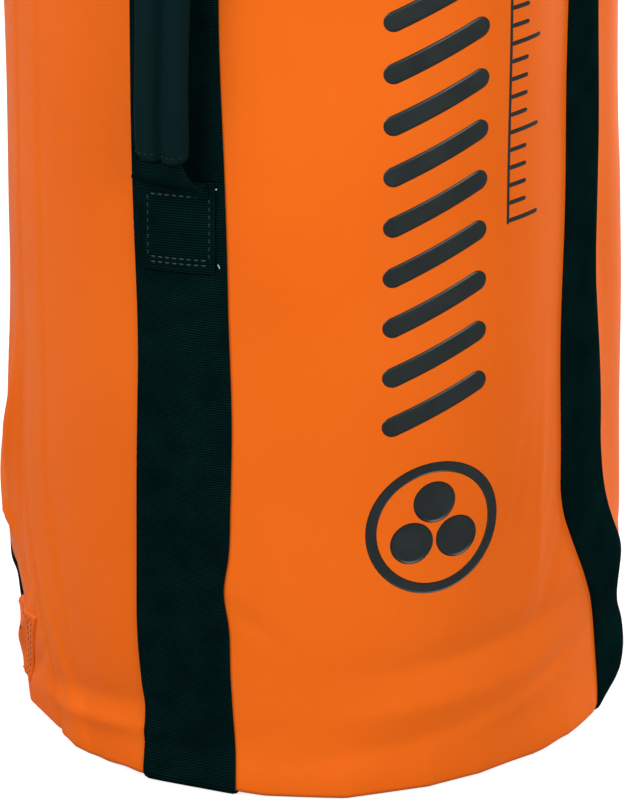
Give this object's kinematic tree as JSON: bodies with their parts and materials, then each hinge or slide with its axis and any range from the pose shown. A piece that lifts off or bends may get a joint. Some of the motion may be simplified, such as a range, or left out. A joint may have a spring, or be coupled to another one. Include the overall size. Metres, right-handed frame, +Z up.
{
  "type": "rope storage bag",
  "caption": "Cylindrical tarpaulin rope bag with webbing load straps crossing under a flat base, lifting rings, a padded side handle, an eyeleted mouth and a rucksack harness",
  "frame": {"origin": "centre of the underside of the base, on the floor", "axes": "+Z up along the tube; -Y towards the side with the carry handle; the harness is at azimuth 225 degrees, counted from -Y towards +X"},
  "size_m": [0.358, 0.3736, 0.68],
  "materials": {
    "tarpaulin": "semi-gloss coated fabric, orange",
    "reinforcement": "matt black sheet",
    "webbing": "ribbed woven webbing, black with a green cast",
    "padding": "fine woven cover over foam, dark grey-green",
    "steel": "plated, satin",
    "eyelet_metal": "nickel, satin",
    "hard_plastic": "moulded black"
  },
  "bodies": {
    "bag": {"body_wall": "tarpaulin", "base_panel": "tarpaulin", "base_reinforcement": "reinforcement", "rim_hem": "tarpaulin", "load_strap_front_back": "webbing", "load_strap_left_right": "webbing", "handle_anchor_lower": "webbing", "handle_anchor_upper": "webbing", "eyelets": "eyelet_metal", "eyelet_washers": "eyelet_metal", "harness_yoke": "webbing", "shoulder_pad_left": "padding", "shoulder_pad_right": "padding", "pad_webbing_left": "webbing", "pad_webbing_right": "webbing", "adjuster_strap_left": "webbing", "adjuster_strap_right": "webbing", "anchor_patch_left": "tarpaulin", "anchor_patch_right": "tarpaulin", "rope_tie_loop": "webbing"},
    "lift_ring_front": {"lift_ring_front": "steel"},
    "lift_ring_right": {"lift_ring_right": "steel"},
    "lift_ring_back": {"lift_ring_back": "steel"},
    "lift_ring_left": {"lift_ring_left": "steel"},
    "handle_grip": {"handle_core": "webbing", "handle_sleeve": "padding"},
    "ladder_lock_left": {"ladder_lock_left": "hard_plastic", "adjuster_tail_left": "webbing"},
    "ladder_lock_right": {"ladder_lock_right": "hard_plastic", "adjuster_tail_right": "webbing"}
  },
  "joints": [
    {"name": "lift_ring_front_hinge", "type": "hinge", "parent": "bag", "child": "lift_ring_front", "pos_m": [0, -0.15655, 0.67], "axis": [-1, 0, 0], "range_deg": [0, 180]},
    {"name": "lift_ring_right_hinge", "type": "hinge", "parent": "bag", "child": "lift_ring_right", "pos_m": [0.15655, 0, 0.67], "axis": [0, -1, 0], "range_deg": [0, 180]},
    {"name": "lift_ring_back_hinge", "type": "hinge", "parent": "bag", "child": "lift_ring_back", "pos_m": [0, 0.15655, 0.67], "axis": [1, 0, 0], "range_deg": [0, 180]},
    {"name": "lift_ring_left_hinge", "type": "hinge", "parent": "bag", "child": "lift_ring_left", "pos_m": [-0.15655, 0, 0.67], "axis": [0, 1, 0], "range_deg": [0, 180]},
    {"name": "handle_pull", "type": "slide", "parent": "bag", "child": "handle_grip", "axis": [0, -1, 0], "range_m": [-0.004, 0.012]},
    {"name": "ladder_lock_left_hinge", "type": "hinge", "parent": "bag", "child": "ladder_lock_left", "pos_m": [-0.14982, 0.05004, 0.24593], "axis": [0.4207, 0.9021, -0.0958], "range_deg": [0, 35]},
    {"name": "ladder_lock_right_hinge", "type": "hinge", "parent": "bag", "child": "ladder_lock_right", "pos_m": [-0.05004, 0.14982, 0.24593], "axis": [0.9021, 0.4207, 0.0958], "range_deg": [0, 35]}
  ]
}
